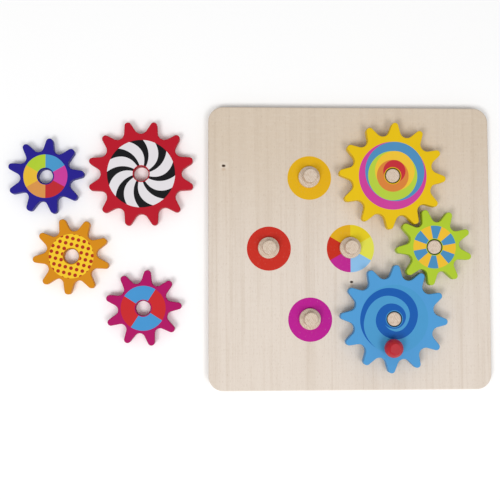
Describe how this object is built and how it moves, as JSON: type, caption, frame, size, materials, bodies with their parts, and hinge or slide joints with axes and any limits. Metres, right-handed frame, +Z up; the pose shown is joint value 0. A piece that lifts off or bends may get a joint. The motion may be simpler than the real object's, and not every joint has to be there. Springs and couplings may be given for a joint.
{
  "type": "gear board toy",
  "caption": "Flat wooden board with upright pegs that carry meshed toothed discs, one turned by a crank knob, and loose toothed discs lying beside it.",
  "frame": {"origin": "middle of the board's underside, on the axis of the middle peg", "axes": "+Z up out of the board along the pegs, +X to the right from the loose gears' side to the gear train's side, +Y to the board's far edge"},
  "size_m": [0.4245, 0.25, 0.0395],
  "materials": {
    "plywood": "bare pale plywood, vertical grain",
    "peg_wood": "bare turned beech",
    "screw_steel": "zinc plated",
    "knob_red": "satin lacquer",
    "gear_blue_paint": "satin lacquer, printed spiral",
    "gear_green_paint": "satin lacquer, printed sectors",
    "gear_yellow_paint": "satin lacquer, printed rings",
    "gear_red_paint": "satin lacquer, printed swirl",
    "gear_navy_paint": "satin lacquer, printed sectors",
    "gear_orange_paint": "satin lacquer, printed dots",
    "gear_magenta_paint": "satin lacquer, printed quarters"
  },
  "bodies": {
    "board": {"base_board": "plywood", "peg_middle": "peg_wood", "peg_right": "peg_wood", "peg_upper_right": "peg_wood", "peg_upper_left": "peg_wood", "peg_left": "peg_wood", "peg_lower_left": "peg_wood", "peg_lower_right": "peg_wood", "screw_middle": "screw_steel", "screw_right": "screw_steel", "screw_upper_right": "screw_steel", "screw_upper_left": "screw_steel", "screw_left": "screw_steel", "screw_lower_left": "screw_steel", "screw_lower_right": "screw_steel"},
    "crank_gear": {"gear_crank": "gear_blue_paint", "crank_knob": "knob_red"},
    "idler_gear": {"gear_green": "gear_green_paint"},
    "top_gear": {"gear_yellow": "gear_yellow_paint"},
    "loose_red_gear": {"gear_red": "gear_red_paint"},
    "loose_navy_gear": {"gear_navy": "gear_navy_paint"},
    "loose_orange_gear": {"gear_orange": "gear_orange_paint"},
    "loose_magenta_gear": {"gear_magenta": "gear_magenta_paint"}
  },
  "joints": [
    {"name": "crank_spin", "type": "hinge", "parent": "board", "child": "crank_gear", "pos_m": [0.0361, -0.06253, 0.014], "axis": [0, 0, 1], "continuous": true},
    {"name": "idler_spin", "type": "hinge", "parent": "board", "child": "idler_gear", "pos_m": [0.0722, 0, 0.014], "axis": [0, 0, 1], "continuous": true},
    {"name": "top_spin", "type": "hinge", "parent": "board", "child": "top_gear", "pos_m": [0.0361, 0.06253, 0.014], "axis": [0, 0, 1], "continuous": true},
    {"name": "red_gear_lift", "type": "slide", "parent": "board", "child": "loose_red_gear", "axis": [0, 0, 1], "range_m": [0, 0.06]},
    {"name": "navy_gear_lift", "type": "slide", "parent": "board", "child": "loose_navy_gear", "axis": [0, 0, 1], "range_m": [0, 0.06]},
    {"name": "magenta_gear_lift", "type": "slide", "parent": "board", "child": "loose_magenta_gear", "axis": [0, 0, 1], "range_m": [0, 0.06]},
    {"name": "orange_gear_lift", "type": "slide", "parent": "board", "child": "loose_orange_gear", "axis": [0, 0, 1], "range_m": [0, 0.06]}
  ],
  "couplings": [
    {"joint": "idler_spin", "follows": "crank_spin", "ratio": -1.3333},
    {"joint": "top_spin", "follows": "crank_spin", "ratio": 1}
  ]
}
